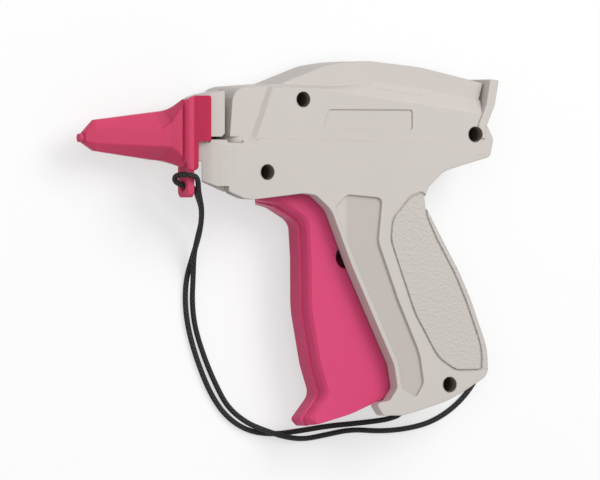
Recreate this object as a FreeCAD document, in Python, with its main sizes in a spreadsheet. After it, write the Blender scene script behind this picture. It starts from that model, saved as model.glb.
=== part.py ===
import FreeCAD, Part
import math
import os

# A hand-held tag attacher for shop labels, in millimetres.
# It lies on its right side. X runs from the muzzle to the back, Y is the way up in the
# hand and Z comes out of the left side. The origin is on the trigger's pivot axis, on the
# flat outer face of the right casing.

V = FreeCAD.Vector
doc = FreeCAD.newDocument("tag_attacher")
sheet = doc.addObject("Spreadsheet::Sheet", "Sizes")
rows = []


def size(name, value):
    rows.append(name)
    cell = f"B{len(rows)}"
    sheet.set(f"A{len(rows)}", name)
    sheet.set(cell, str(value))
    sheet.setAlias(cell, name)


def point(name, x, y):
    size(name + "_x", x)
    size(name + "_y", y)


# Casing: widths are counted from the mid-plane where the two halves meet.
size("half_width", 13.5)
size("side_half", 12.9)
size("fin_half", 9.5)
size("cheek_half", 11.5)
size("wall", 2.2)
size("cavity_half", 10.7)
size("cavity_front", -4.8)
size("sweep_radius", 95.2)
size("tail_wall", 78.4)
size("fin_cavity_half", 7.2)
size("mouth_half", 8.3)
size("needle_height", 11.8)
size("slit_gap", 1.0)
size("label_depth", 0.45)

# Outline of the casing, from the muzzle along the underside and back along the top.
point("front_low", -25.6, -2.6)
point("chin", -9.0, -9.3)
point("mouth_front", -5.2, -9.6)
point("mouth_top", 14.4, -7.4)
point("mouth_turn", 19.4, -8.0)
point("mouth_back", 25.6, -13.2)
point("opening_a", 33.6, -32.4)
point("opening_b", 43.0, -51.7)
point("opening_c", 50.7, -67.4)
point("opening_d", 52.1, -75.5)
point("pocket", 49.0, -79.9)
point("lip_front", 43.5, -81.0)
point("lip_low", 46.4, -85.2)
point("butt_a", 53.8, -85.2)
point("butt_b", 62.2, -83.0)
point("butt_c", 71.8, -80.2)
point("butt_d", 79.4, -76.5)
point("butt_corner", 88.6, -71.0)
point("back_a", 88.0, -61.4)
point("back_b", 81.8, -45.3)
point("back_c", 77.0, -35.2)
point("back_d", 69.6, -22.8)
point("throat", 62.4, -10.4)
point("throat_top", 64.4, -5.2)
point("heel_a", 70.6, 0.4)
point("heel_b", 79.4, 2.9)
point("tail_low", 89.6, 5.6)
point("tail_mid", 91.0, 11.8)
point("tail_notch", 88.2, 16.9)
point("crease_back", 87.6, 25.4)
point("crease_mid", 63.3, 29.4)
point("crease_top", 44.9, 31.6)
point("crease_front", 31.2, 30.0)
point("brow", 5.4, 30.8)
point("front_top", -12.6, 29.6)
size("front_edge_x", -13.9)

# Where the side faces meet the slope that leads up to the fin.
point("foot_back", 86.4, 20.6)
point("foot_mid", 58.8, 24.2)
point("foot_top", 37.0, 26.8)
point("foot_front", 23.0, 29.2)
size("foot_drop", 1.2)

# Fin along the top and the plate that closes it behind.
point("fin_front", 6.1, 30.4)
point("fin_rise", 25.2, 37.3)
point("fin_a", 33.4, 38.5)
point("fin_b", 42.6, 39.0)
point("fin_c", 63.3, 36.9)
point("fin_back", 88.6, 31.4)
point("plate_top", 92.8, 32.4)
point("plate_bend", 91.2, 23.8)
size("plate_thick", 3.4)

# Shapes on the sides.
point("step_front", -6.4, 11.6)
point("step_back", 69.4, 10.2)
point("step_end", 83.6, 5.8)
point("cheek_low", -5.6, 11.4)
point("cheek_high", 1.9, 31.6)
size("front_taper", 3.9)
size("front_taper_length", 13.0)
size("cheek_bevel", 2.0)
size("cheek_round", 4.0)
point("label_low", 22.4, 14.8)
point("label_high", 58.4, 21.9)
size("label_slant", 2.6)
point("notch_low", -20.2, -7.6)
point("notch_high", -15.2, -5.0)
size("notch_deep", 3.2)
size("skirt_half", 8.6)
point("relief_front", -25.6, 12.2)
point("relief_back", -9.2, -14.0)
size("relief_top", 3.8)
point("near_under_front", -20.0, -1.8)
point("near_under_back", 0.5, -10.1)
point("far_under_front", -14.0, -1.25)
point("far_under_back", 8.0, -10.1)
point("near_lip_front", 50.5, -80.4)
point("near_lip_back", 58.5, -85.6)
point("far_lip_front", 57.0, -79.6)
point("far_lip_back", 66.0, -85.4)

# Front strip of the grip beside the trigger opening.
size("strip_depth", 0.9)
point("strip_a", 46.0, -9.0)
point("strip_b", 44.4, -24.2)
point("strip_c", 52.4, -44.7)
point("strip_d", 61.0, -63.4)
point("strip_e", 62.7, -73.8)
point("strip_f", 59.5, -79.0)
size("rim_width", 1.7)

# Grip pad.
point("pad_a", 63.2, -6.2)
point("pad_b", 57.0, -8.2)
point("pad_c", 49.6, -16.0)
point("pad_d", 49.0, -24.0)
point("pad_e", 58.6, -49.6)
point("pad_f", 68.2, -65.4)
point("pad_g", 75.6, -70.0)
point("pad_h", 86.2, -69.8)
size("pad_inset", 1.8)
size("groove_width", 0.7)
size("groove_depth", 0.5)

# Nose block over the needle.
size("nose_front", -26.0)
size("nose_back", -15.3)
size("nose_left_half", 10.5)
size("nose_top_back", 28.5)
size("nose_top_front", 25.8)
size("nose_chamfer", 1.2)
size("nose_web_half", 10.5)
size("nose_web_top", 21.0)
size("channel_front", -21.3)
size("channel_back", -10.7)
size("channel_half", 1.5)

# Screws and their bosses.
size("boss_radius", 4.0)
size("recess_radius", 2.65)
size("recess_floor", 3.5)
size("screw_radius", 1.4)
size("screw_clear", 0.2)
size("head_radius", 2.4)
size("head_tall", 2.0)
size("screw_deep", 9.6)
point("screw_two", 14.6, 25.4)
point("screw_three", 83.6, 13.4)
point("screw_four", 73.0, -74.4)

# Trigger.
size("trigger_half", 7.5)
size("trigger_wall", 2.0)
size("trigger_turn", 16)
size("hub_radius", 6.3)
size("hub_clear", 0.06)
point("trig_throat", -4.2, -5.0)
point("trig_chin", -1.8, -9.9)
point("trig_brow", 8.6, -12.4)
point("trig_bend", 17.6, -17.6)
point("trig_finger", 18.4, -30.0)
point("trig_mid", 18.5, -48.0)
point("trig_low", 22.3, -67.9)
point("trig_knee", 25.6, -77.6)
point("trig_lip", 18.4, -86.4)
point("trig_tip", 20.9, -88.9)
point("trig_sole", 36.9, -84.6)
point("trig_heel", 54.4, -77.2)
point("trig_back_a", 55.6, -70.0)
point("trig_back_b", 50.6, -52.0)
point("trig_back_c", 51.4, -36.0)
point("trig_ear", 51.6, -26.6)
point("trig_shoulder", 41.0, -9.5)
point("trig_top", 6.0, 3.0)
size("front_round", 2.6)
size("rib_half", 3.3)
size("rib_raise", 0.8)

# Drive lever, which turns the trigger's short swing into the slide's long stroke.
point("fulcrum", 41.5, -18.9)
size("notch_radius", 4.1)
size("pivot_boss_radius", 3.5)
size("pivot_boss_end", 4.5)
size("lever_half", 2.0)
size("lever_hub_half", 4.2)
size("lever_hub_radius", 4.6)
size("pin_radius", 1.5)
size("pin_clear", 0.06)
size("drive_radius", 55.6)
size("drive_angle", -32.5)
size("lever_turn", 78.4)
size("stroke", 50.0)
size("arm_half", 6.0)
size("arm_reach", 43.2)
size("slot_near", 28.8)
size("slot_wide", 37.0)
size("slot_far", 41.6)
size("slot_half_wide", 3.45)
size("slot_half", 1.85)
size("foot_half", 4.2)
size("foot_reach", 16.4)
size("foot_slot_near", 8.0)
size("foot_slot_far", 14.3)
size("foot_slot_half", 2.1)

# Slide, push rod and needle.
size("slide_half_tall", 4.8)
size("slide_half", 5.5)
size("fork_half", 2.3)
size("slide_front_gap", 12.2)
size("slide_front_thick", 3.8)
size("slide_behind", 5.5)
size("rail_gap", 0.3)
size("rail_thick", 1.5)
size("rail_near", 3.0)
size("rail_front", 8.0)
size("rail_back", 76.0)
size("rod_radius", 0.8)
size("rod_tip", -10.4)
size("needle_radius", 1.5)
size("needle_bore", 1.0)
size("needle_tip", -59.5)
size("needle_back", -21.8)
size("needle_slot", 0.5)
size("collar_radius", 3.2)
size("collar_length", 3.2)

# Feed wheel and what drives it.
size("wheel_x", -16.0)
size("wheel_thick", 1.6)
size("wheel_root", 2.4)
size("wheel_tip", 3.3)
size("wheel_teeth", 12)
size("wheel_height", 17.4)
size("wheel_half", 4.6)
size("axle_radius", 1.0)
size("axle_front", -24.5)
size("axle_back", -5.6)
size("feed_room_half", 8.4)
size("feed_room_front", -22.5)
size("feed_room_back", -8.2)
size("feed_room_low", 11.0)
size("feed_room_high", 22.8)
size("pawl_pin_x", -2.0)
size("pawl_pin_y", 21.4)
size("pawl_thick", 1.6)
size("pawl_pin_radius", 1.0)
size("guide_thick", 0.7)

# Return spring in the grip.
size("spring_radius", 3.9)
size("spring_wire", 0.5)
size("spring_turns", 7)
size("spring_length", 22.0)
point("spring_seat", 52.6, -50.0)
size("spring_angle", 12)
size("spring_rib", 1.6)

# Needle cap.
size("cap_back", -26.4)
size("cap_flange", 5.1)
size("cap_half", 13.5)
size("cap_high", 26.6)
size("cap_low", 0.5)
size("cheek_reach", -22.3)
size("cheek_floor", 10.6)
size("cap_tip", -65.9)
size("cap_nub", -67.6)
size("nub_radius", 1.5)
size("cap_neck", -61.7)
size("cap_root", -38.5)
size("cap_bend", -35.7)
size("cap_flare", -33.3)
size("cap_band", 11.0)
size("cap_far", 8.5)
size("cheek_near", 10.7)
size("bead_front", -29.8)
size("bead_back", -28.4)
size("bead_crest", 11.7)
size("cheek_start", -27.8)
size("cheek_root", 11.2)
size("cap_bore", 2.2)
size("cap_mouth", 4.2)
size("tab_thick", 2.6)
size("tab_half", 3.6)
size("tab_z", 7.6)
size("tab_front", -30.4)
size("tab_low", -8.9)
size("tab_hole_y", -4.8)
size("tab_hole_radius", 1.95)

# Cord.
size("cord", 1.9)
size("cord_hole", 1.3)
size("cord_hole_z", 5.4)
size("cord_in_low_x", 67.0)
size("cord_in_back_y", -57.0)
size("knot_radius", 2.2)
doc.recompute()


class Sheet:
    """The sheet's values, read by name."""

    def __getattr__(self, name):
        return float(sheet.get(name))

    def at(self, name):
        return (float(sheet.get(name + "_x")), float(sheet.get(name + "_y")))


d = Sheet()


def rounded(points):
    """Lines and tangent arcs round a closed outline of (x, y) or (x, y, radius)."""
    n = len(points)
    ends = []
    for i, here in enumerate(points):
        p = V(here[0], here[1], 0)
        r = here[2] if len(here) > 2 else 0
        a = (V(points[i - 1][0], points[i - 1][1], 0) - p).normalize()
        b = (V(points[(i + 1) % n][0], points[(i + 1) % n][1], 0) - p).normalize()
        half = math.acos(max(-1, min(1, a.dot(b)))) / 2
        if r <= 0 or half > 1.56:
            ends.append((p, p, None))
            continue
        run = r / math.tan(half)
        middle = (a + b).normalize()
        centre = p + middle * (r / math.sin(half))
        ends.append((p + a * run, p + b * run, centre - middle * r))
    shape = []
    for i, (start, end, top) in enumerate(ends):
        if top is not None:
            shape.append(Part.Arc(start, top, end))
        following = ends[(i + 1) % n][0]
        if (following - end).Length > 1e-6:
            shape.append(Part.LineSegment(end, following))
    return shape


def inset(points, by):
    """The outline moved inwards (clockwise or not) by the same distance everywhere."""
    n = len(points)
    area = 0
    for i in range(n):
        a, b = points[i - 1], points[i]
        area += a[0] * b[1] - b[0] * a[1]
    turn = 1 if area > 0 else -1
    moved = []
    for i, here in enumerate(points):
        p = V(here[0], here[1], 0)
        r = here[2] if len(here) > 2 else 0
        a = (p - V(points[i - 1][0], points[i - 1][1], 0)).normalize()
        b = (V(points[(i + 1) % n][0], points[(i + 1) % n][1], 0) - p).normalize()
        na = V(-a.y, a.x, 0) * turn
        nb = V(-b.y, b.x, 0) * turn
        q = p + (na + nb) * (by / (1 + na.dot(nb)))
        convex = (a.x * b.y - a.y * b.x) * turn > 0
        moved.append((q.x, q.y, max(r - by, 0) if convex else (r + by if r else 0)))
    return moved


def circle(x, y, r):
    return [Part.Circle(V(x, y, 0), V(0, 0, 1), r)]


def new_body(label):
    body = doc.addObject("PartDesign::Body", label)
    body.Label = label
    return body


def new_sketch(body, geometry, lift, plane="XY_Plane"):
    """A sketch on one of the body's own planes, lifted by an expression."""
    flat = body.newObject("Sketcher::SketchObject", body.Name + "_sketch")
    own = [f for f in body.Origin.OriginFeatures if f.Role == plane]
    flat.AttachmentSupport = [(own[0], "")]
    flat.MapMode = "FlatFace"
    flat.setExpression(".AttachmentOffset.Base.z", lift)
    flat.addGeometry(geometry, False)
    return flat


def pad(body, geometry, lift, length, side=1, plane="XY_Plane", taper=None):
    flat = new_sketch(body, geometry, lift, plane)
    feature = body.newObject("PartDesign::Pad", body.Name + "_pad")
    feature.Profile = flat
    feature.setExpression("Length", length)
    feature.Reversed = side < 0
    feature.Refine = False
    if taper:
        feature.setExpression("TaperAngle", taper)
    return feature


def pocket(body, geometry, lift, length, side=1, plane="XY_Plane", taper=None):
    """Cuts towards +normal for side 1 and towards -normal for side -1."""
    flat = new_sketch(body, geometry, lift, plane)
    feature = body.newObject("PartDesign::Pocket", body.Name + "_pocket")
    feature.Profile = flat
    feature.setExpression("Length", length)
    feature.Reversed = side > 0
    feature.Refine = False
    if taper:
        feature.setExpression("TaperAngle", taper)
    return feature


def loft(body, low, low_lift, high, high_lift, plane="XY_Plane"):
    first = new_sketch(body, low, low_lift, plane)
    second = new_sketch(body, high, high_lift, plane)
    feature = body.newObject("PartDesign::AdditiveLoft", body.Name + "_loft")
    feature.Profile = first
    feature.Sections = [second]
    feature.Ruled = True
    feature.Refine = False
    return feature


def carve(body, low, low_lift, high, high_lift, plane="XY_Plane"):
    first = new_sketch(body, low, low_lift, plane)
    second = new_sketch(body, high, high_lift, plane)
    feature = body.newObject("PartDesign::SubtractiveLoft", body.Name + "_carve")
    feature.Profile = first
    feature.Sections = [second]
    feature.Ruled = True
    feature.Refine = False
    return feature


# ---------------------------------------------------------------- casings
slit_low = d.needle_height - d.slit_gap / 2
slit_high = d.needle_height + d.slit_gap / 2

underside = [
    (d.front_low_x, slit_low),
    (*d.at("front_low"), 1.5),
    (*d.at("chin"), 5),
    (*d.at("mouth_front"), 5),
    (*d.at("mouth_top"), 8),
    (*d.at("mouth_turn"), 4),
    (*d.at("mouth_back"), 9),
    (*d.at("opening_a"), 30),
    (*d.at("opening_b"), 30),
    (*d.at("opening_c"), 8),
    (*d.at("opening_d"), 3),
    (*d.at("pocket"), 1.5),
    (*d.at("lip_front"), 1.0),
    (*d.at("lip_low"), 1.8),
    (*d.at("butt_a"), 8),
    (*d.at("butt_b"), 12),
    (*d.at("butt_c"), 14),
    (*d.at("butt_d"), 10),
    (*d.at("butt_corner"), 4.5),
    (*d.at("back_a"), 20),
    (*d.at("back_b"), 40),
    (*d.at("back_c"), 40),
    (*d.at("back_d"), 14),
    (*d.at("throat"), 5),
    (*d.at("throat_top"), 4),
    (*d.at("heel_a"), 8),
    (*d.at("heel_b"), 20),
    (*d.at("tail_low"), 2),
    (*d.at("tail_mid"), 3),
    (*d.at("tail_notch"), 0),
]
crease = [
    (*d.at("crease_back"), 0),
    (*d.at("crease_mid"), 0),
    (*d.at("crease_top"), 0),
    (*d.at("crease_front"), 0),
    (*d.at("brow"), 0),
    (*d.at("front_top"), 5.5),
    (d.front_edge_x, slit_low),
]
foot = [
    (*d.at("foot_back"), 0),
    (*d.at("foot_mid"), 0),
    (*d.at("foot_top"), 0),
    (*d.at("foot_front"), 0),
    (d.brow_x, d.brow_y - d.foot_drop, 0),
    (d.front_top_x, d.front_top_y - d.foot_drop / 2, 5),
    (d.front_edge_x, slit_low),
]
fin = [
    (*d.at("fin_back"), 0),
    (*d.at("fin_c"), 60),
    (*d.at("fin_b"), 25),
    (*d.at("fin_a"), 20),
    (*d.at("fin_rise"), 18),
    (*d.at("fin_front"), 0),
    (d.brow_x, d.crease_front_y - d.wall - 4),
    (d.crease_back_x - 3, d.crease_back_y - d.wall - 6),
]
plate = [
    (d.tail_notch_x - 0.7, d.tail_notch_y - 1.4),
    (*d.at("plate_bend"), 6),
    (*d.at("plate_top"), 0.6),
    (d.plate_top_x - d.plate_thick, d.plate_top_y + 0.4, 0.6),
    (d.plate_bend_x - d.plate_thick, d.plate_bend_y, 0),
    (d.tail_notch_x - d.plate_thick, d.tail_notch_y, 0),
    (d.tail_notch_x - d.plate_thick, d.tail_notch_y - 5),
    (d.tail_notch_x - 0.7, d.tail_notch_y - 5),
]
lower_side = [
    (d.front_low_x, d.step_front_y - 1.4, 0.4),
] + underside[1:27] + [
    (
        d.heel_b_x + 0.8 * (d.tail_low_x - d.heel_b_x),
        d.heel_b_y + 0.8 * (d.tail_low_y - d.heel_b_y),
    ),
    (d.heel_b_x + 0.78 * (d.tail_low_x - d.heel_b_x), d.step_end_y + 0.8, 0.8),
    (*d.at("step_end"), 6),
    (*d.at("step_back"), 8),
    (d.step_front_x + 5, d.step_front_y, 3),
    (*d.at("step_front"), 1.0),
    (d.step_front_x - 1.4, d.step_front_y - 1.4, 1.0),
]
pad_outline = [
    (*d.at("pad_a"), 2),
    (*d.at("pad_b"), 6),
    (*d.at("pad_c"), 8),
    (*d.at("pad_d"), 10),
    (*d.at("pad_e"), 30),
    (*d.at("pad_f"), 12),
    (*d.at("pad_g"), 8),
    (*d.at("pad_h"), 2),
    (d.back_a_x - d.pad_inset, d.back_a_y, 20),
    (d.back_b_x - d.pad_inset, d.back_b_y, 40),
    (d.back_c_x - d.pad_inset, d.back_c_y, 40),
    (d.back_d_x - d.pad_inset, d.back_d_y, 14),
    (d.throat_x + d.pad_inset, d.throat_y - 5, 5),
]
screws = [
    (0.0, 0.0),
    d.at("screw_two"),
    d.at("screw_three"),
    d.at("screw_four"),
]


def nose(body):
    """The nose over the needle is moulded on the right half and reaches to the left side."""
    block = [
        (d.nose_front, slit_high),
        (d.nose_front, d.nose_top_front, 1.5),
        (d.nose_back - 5.5, d.nose_top_back - 1.1, 12),
        (d.nose_back, d.nose_top_back, 0.5),
        (d.nose_back, slit_high + d.nose_chamfer),
        (d.nose_back - d.nose_chamfer, slit_high),
    ]
    web = [
        (d.nose_front, d.needle_height - 4),
        (d.nose_front, d.nose_web_top, 1.5),
        (d.front_edge_x + 2, d.nose_web_top + 2),
        (d.front_edge_x + 2, d.needle_height - 4),
    ]
    pad(body, rounded(web), "0", "Sizes.nose_web_half", -1)
    pad(body, rounded(block), "0", "Sizes.nose_left_half", 1)


def casing(label, side):
    """One half of the casing. Every layer is counted outwards from the mid-plane."""
    body = new_body(label)
    body.Placement.Base.z = d.half_width
    body.setExpression(".Placement.Base.z", "Sizes.half_width")
    sign = f"{side} * "
    # Core up to the fin's own side face, and the slope out to the side face.
    pad(body, rounded(underside + crease), "0", "Sizes.fin_half", side)
    pad(body, rounded(fin), "0", "Sizes.fin_half", side)
    pad(body, rounded(plate), "0", "Sizes.half_width", side)
    if side < 0:
        nose(body)
    loft(
        body,
        rounded(underside + crease),
        sign + "Sizes.fin_half",
        rounded(underside + foot),
        sign + "Sizes.side_half",
    )
    # The lower side stands a little further out, and a plate closes the fin behind.
    pad(
        body,
        rounded(lower_side),
        sign + "Sizes.side_half",
        "Sizes.half_width - Sizes.side_half",
        side,
    )
    return body


def rectangle(x0, y0, x1, y1, r=0):
    return rounded([(x0, y0, r), (x1, y0, r), (x1, y1, r), (x0, y1, r)])


def turned(reach, degrees):
    """A point about the trigger's pivot, by radius and angle."""
    angle = math.radians(degrees)
    return (reach * math.cos(angle), reach * math.sin(angle))


def hollow(body, side):
    """Cavities, bosses and openings that both halves share."""
    within = inset(underside + crease, d.wall)
    tail = [
        (d.tail_wall, d.heel_b_y + d.wall + 0.4, 1),
        (d.tail_wall, d.crease_back_y - d.wall, 1),
    ]
    room = (
        [(d.cavity_front, d.mouth_front_y + d.wall + 0.6)]
        + within[4:26]
        + tail
        + within[-6:-2]
        + [(d.cavity_front, d.brow_y - d.wall)]
    )
    pocket(body, rounded(room), "0", "Sizes.cavity_half", side)
    top = inset(fin, d.wall)
    pocket(body, rounded(top), "0", "Sizes.fin_cavity_half", side)
    # The trigger comes out through a mouth that is open between the two halves.
    outside = inset(underside + crease, -4)
    inside = inset(underside + crease, d.wall + 1.2)
    sole = [turned(d.sweep_radius, a) for a in (-66.5, -63.5, -60, -57, -54)]
    mouth = [p[:2] for p in outside[3:11]] + sole + [p[:2] for p in reversed(inside[3:11])]
    pocket(body, rounded(mouth), "0", "Sizes.mouth_half", side)
    # The trigger's hub turns in a round room about the lower front boss.
    pocket(body, circle(0, 0, d.hub_radius + 0.5), "0", "Sizes.mouth_half", side)
    # Screw bosses meet at the mid-plane. The rear one is part of the solid tail.
    bosses = []
    for x, y in (screws[0], screws[1], screws[3]):
        bosses += circle(x, y, d.boss_radius)
    pad(body, bosses, "0", "Sizes.cavity_half + 0.5", side)
    pad(
        body,
        circle(d.fulcrum_x, d.fulcrum_y, d.pivot_boss_radius),
        f"{side} * Sizes.pivot_boss_end",
        "Sizes.cavity_half - Sizes.pivot_boss_end + 0.5",
        side,
    )
    pocket(
        body,
        circle(d.fulcrum_x, d.fulcrum_y, d.pin_radius),
        f"{side} * Sizes.pivot_boss_end",
        "Sizes.cavity_half - Sizes.pivot_boss_end - 0.6",
        side,
    )
    # Rails that keep the slide level.
    low = d.needle_height - d.slide_half_tall - d.rail_gap
    high = d.needle_height + d.slide_half_tall + d.rail_gap
    rails = rectangle(d.rail_front, low - d.rail_thick, d.rail_back, low)
    rails += rectangle(d.rail_front, high, d.rail_back, high + d.rail_thick)
    pad(
        body,
        rails,
        f"{side} * Sizes.rail_near",
        "Sizes.cavity_half - Sizes.rail_near + 0.3",
        side,
    )
    # The push rod and the needle lie in the parting plane.
    pocket(
        body,
        circle(d.needle_height, 0, d.needle_bore),
        "Sizes.nose_front - 1",
        "Sizes.cavity_front - Sizes.nose_front + 3",
        1,
        "YZ_Plane",
    )
    pocket(
        body,
        circle(d.needle_height, 0, d.needle_radius),
        "Sizes.nose_front - 1",
        "Sizes.needle_back - Sizes.nose_front + 1",
        1,
        "YZ_Plane",
    )
    # The clip of tags stands in a channel behind the nose.
    channel = rectangle(
        d.channel_front, d.needle_height - 1.2, d.channel_back, d.front_top_y + 4
    )
    pocket(body, channel, "0", "Sizes.channel_half", side)


def outer_faces(body, side):
    """What is cut into the side face, from outside towards the mid-plane."""
    lift = f"{side} * Sizes.half_width"
    def cheek(by):
        return rounded(
            [
                (d.front_low_x - 6, d.cheek_low_y - by),
                (d.cheek_low_x - 1.5 + by, d.cheek_low_y - by, 1.5),
                (d.cheek_low_x + by, d.cheek_low_y + 1.2 - by, 2.0),
                (d.cheek_high_x + by, d.cheek_high_y, 0),
                (d.cheek_high_x + by, d.cheek_high_y + 4),
                (d.front_low_x - 6, d.cheek_high_y + 4),
            ]
        )

    carve(body, cheek(0), f"{side} * Sizes.cheek_half", cheek(d.cheek_bevel), lift)
    corner = rounded(
        [
            (d.front_edge_x - 1.2, side * (d.cheek_half - d.cheek_round - 1)),
            (d.front_edge_x, side * (d.cheek_half - d.cheek_round - 1)),
            (d.front_edge_x, side * d.cheek_half, d.cheek_round),
            (d.front_edge_x + d.cheek_round + 1, side * d.cheek_half),
            (d.front_edge_x + d.cheek_round + 1, side * (d.cheek_half + 1)),
            (d.front_edge_x - 1.2, side * (d.cheek_half + 1)),
        ]
    )
    if side > 0:
        pocket(body, corner, "-(Sizes.needle_height + 0.5)", "30", 1, "XZ_Plane")
    pocket(
        body,
        rectangle(
            d.front_low_x - 6, d.cheek_floor - 0.4, d.cheek_reach + 0.5, d.cheek_high_y
        ),
        lift,
        "Sizes.half_width - Sizes.nose_web_half",
        -side,
    )
    low = d.front_low_x
    taper = rounded(
        [
            (low - 1, side * (d.half_width + 1)),
            (low - 1, side * (d.half_width - d.front_taper)),
            (low, side * (d.half_width - d.front_taper)),
            (low + 0.32 * d.front_taper_length, side * (d.half_width - 0.38 * d.front_taper), 6),
            (low + 0.66 * d.front_taper_length, side * (d.half_width - 0.09 * d.front_taper), 14),
            (low + d.front_taper_length, side * d.half_width),
            (low + d.front_taper_length, side * (d.half_width + 1)),
        ]
    )
    pocket(body, taper, "12", "Sizes.needle_height + 12", -1, "XZ_Plane")
    label = [
        (*d.at("label_low"), 1),
        (d.label_high_x, d.label_low_y, 1),
        (*d.at("label_high"), 1),
        (d.label_low_x + d.label_slant, d.label_high_y, 1),
    ]
    pocket(
        body,
        rounded(label),
        lift,
        "Sizes.half_width - Sizes.side_half + Sizes.label_depth",
        -side,
    )
    rim = inset(underside + crease, d.rim_width)[6:11]
    strip = (
        [
            (*d.at("strip_a"), 2),
            (*d.at("strip_b"), 8),
            (*d.at("strip_c"), 40),
            (*d.at("strip_d"), 20),
            (*d.at("strip_e"), 4),
            (*d.at("strip_f"), 1.5),
        ]
        + [(p[0], p[1], 2) for p in reversed(rim)]
        + [(d.mouth_back_x + 6.5, d.mouth_back_y + 5.4, 2)]
    )
    pocket(body, rounded(strip), lift, "Sizes.strip_depth", -side)
    pocket(body, rounded(pad_outline), lift, "Sizes.groove_depth", -side)
    pad(
        body,
        rounded(inset(pad_outline, d.groove_width)),
        f"{side} * (Sizes.half_width - Sizes.groove_depth)",
        "Sizes.groove_depth",
        side,
    )


def cut_back(body, side):
    """The front end and the butt's lip keep their full depth only at the left face."""
    relief = [
        (d.relief_front_x - 3, d.relief_front_y),
        (d.relief_front_x, d.relief_front_y),
        (d.relief_back_x, d.relief_back_y),
        (d.relief_front_x - 3, d.relief_back_y),
    ]
    pocket(body, rounded(relief), "-Sizes.relief_top", "18", 1, "XZ_Plane")
    name = "near" if side > 0 else "far"
    depth = "Sizes.skirt_half" if side > 0 else "Sizes.half_width"
    front = d.at(name + "_under_front")
    back = d.at(name + "_under_back")
    under = [
        (d.relief_front_x - 2, front[1]),
        front,
        back,
        (back[0], back[1] - 4),
        (d.relief_front_x - 2, back[1] - 4),
    ]
    pocket(body, rounded(under), "0", depth, side)
    front = d.at(name + "_lip_front")
    back = d.at(name + "_lip_back")
    lip = [
        (d.lip_front_x - 3.5, front[1] + 1.4),
        front,
        back,
        (back[0], back[1] - 5),
        (d.lip_front_x - 3.5, back[1] - 5),
    ]
    pocket(body, rounded(lip), "0", depth, side)


def screw_holes(body, side):
    shanks = []
    recesses = []
    for x, y in screws:
        shanks += circle(x, y, d.screw_radius + (d.screw_clear if side > 0 else 0))
        recesses += circle(x, y, d.recess_radius)
    if side > 0:
        pocket(body, shanks, "0", "Sizes.half_width", 1)
        pocket(body, recesses, "Sizes.recess_floor", "Sizes.half_width", 1)
    else:
        pocket(body, shanks, "0", "Sizes.screw_deep", -1)


left = casing("left_casing", 1)
hollow(left, 1)
outer_faces(left, 1)
cut_back(left, 1)
screw_holes(left, 1)
notch = rectangle(
    d.notch_low_x, d.notch_low_y, d.notch_high_x, d.notch_high_y
)
pocket(left, notch, "Sizes.half_width", "Sizes.notch_deep", -1)

right = casing("right_casing", -1)
hollow(right, -1)
outer_faces(right, -1)
cut_back(right, -1)
screw_holes(right, -1)
# Room for the feed wheel beside the channel, its axle and the pawl that reaches it.
room = rectangle(
    d.feed_room_front, d.feed_room_low, d.feed_room_back, d.feed_room_high
)
pocket(right, room, "0", "Sizes.feed_room_half", -1)
pocket(
    right,
    circle(d.wheel_height, -d.wheel_half, d.axle_radius),
    "Sizes.axle_front",
    "Sizes.axle_back - Sizes.axle_front",
    1,
    "YZ_Plane",
)
slot = rectangle(
    d.feed_room_back - 1, d.pawl_pin_y - 2.6, d.cavity_front + 1, d.pawl_pin_y + 2.6
)
pocket(
    right,
    slot,
    "-(Sizes.wheel_half - Sizes.pawl_thick / 2 - 0.3)",
    "Sizes.pawl_thick + 0.6",
    -1,
)
# The clip's channel also crosses the part of the nose that reaches to the left.
across = rectangle(
    d.channel_front, d.needle_height + 0.9, d.nose_back + 1, d.front_top_y + 4
)
pocket(right, across, "0", "Sizes.channel_half", 1)
# Holes in the butt where the cord's two ends go in.
lower_hole = (d.cord_in_low_x, d.cord_hole_z - d.half_width)
back_hole = (d.cord_in_back_y, d.cord_hole_z - d.half_width)
pocket(
    right,
    circle(*lower_hole, d.cord_hole),
    "-(Sizes.butt_b_y + 6)",
    "12",
    1,
    "XZ_Plane",
)
pocket(right, circle(*back_hole, d.cord_hole), "Sizes.back_a_x - 8", "12", 1, "YZ_Plane")


# ---------------------------------------------------------------- screws
def part_of(kind, label, **expressions):
    """A Part primitive whose sizes are bound to the sheet."""
    shape = doc.addObject(kind, label)
    shape.Label = label
    for name, expression in expressions.items():
        shape.setExpression(name.replace("__", "."), str(expression))
    return shape


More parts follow.
